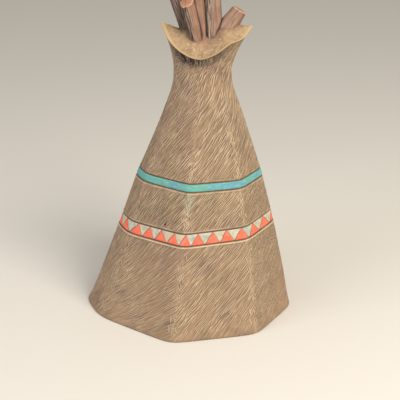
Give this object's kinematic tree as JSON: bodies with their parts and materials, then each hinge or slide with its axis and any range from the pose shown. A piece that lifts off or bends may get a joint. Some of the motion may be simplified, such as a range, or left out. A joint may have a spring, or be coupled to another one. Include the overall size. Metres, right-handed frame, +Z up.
{
  "type": "ceramic teepee figurine",
  "caption": "Hollow ceramic tabletop teepee with an etched eight-sided body, a turquoise stripe, a band of triangles, a flared two-pointed collar and lodge pole stubs.",
  "frame": {"origin": "on the table, under the middle of the figurine's outline", "axes": "+Z up, along the height; +X to the viewer's right and +Y away from the viewer, as in the picture"},
  "size_m": [0.1198, 0.1126, 0.1909],
  "materials": {
    "clay": "matt stained clay, etched, with painted turquoise, coral and cream bands"
  },
  "bodies": {
    "root": {"teepee": "clay"}
  },
  "joints": []
}
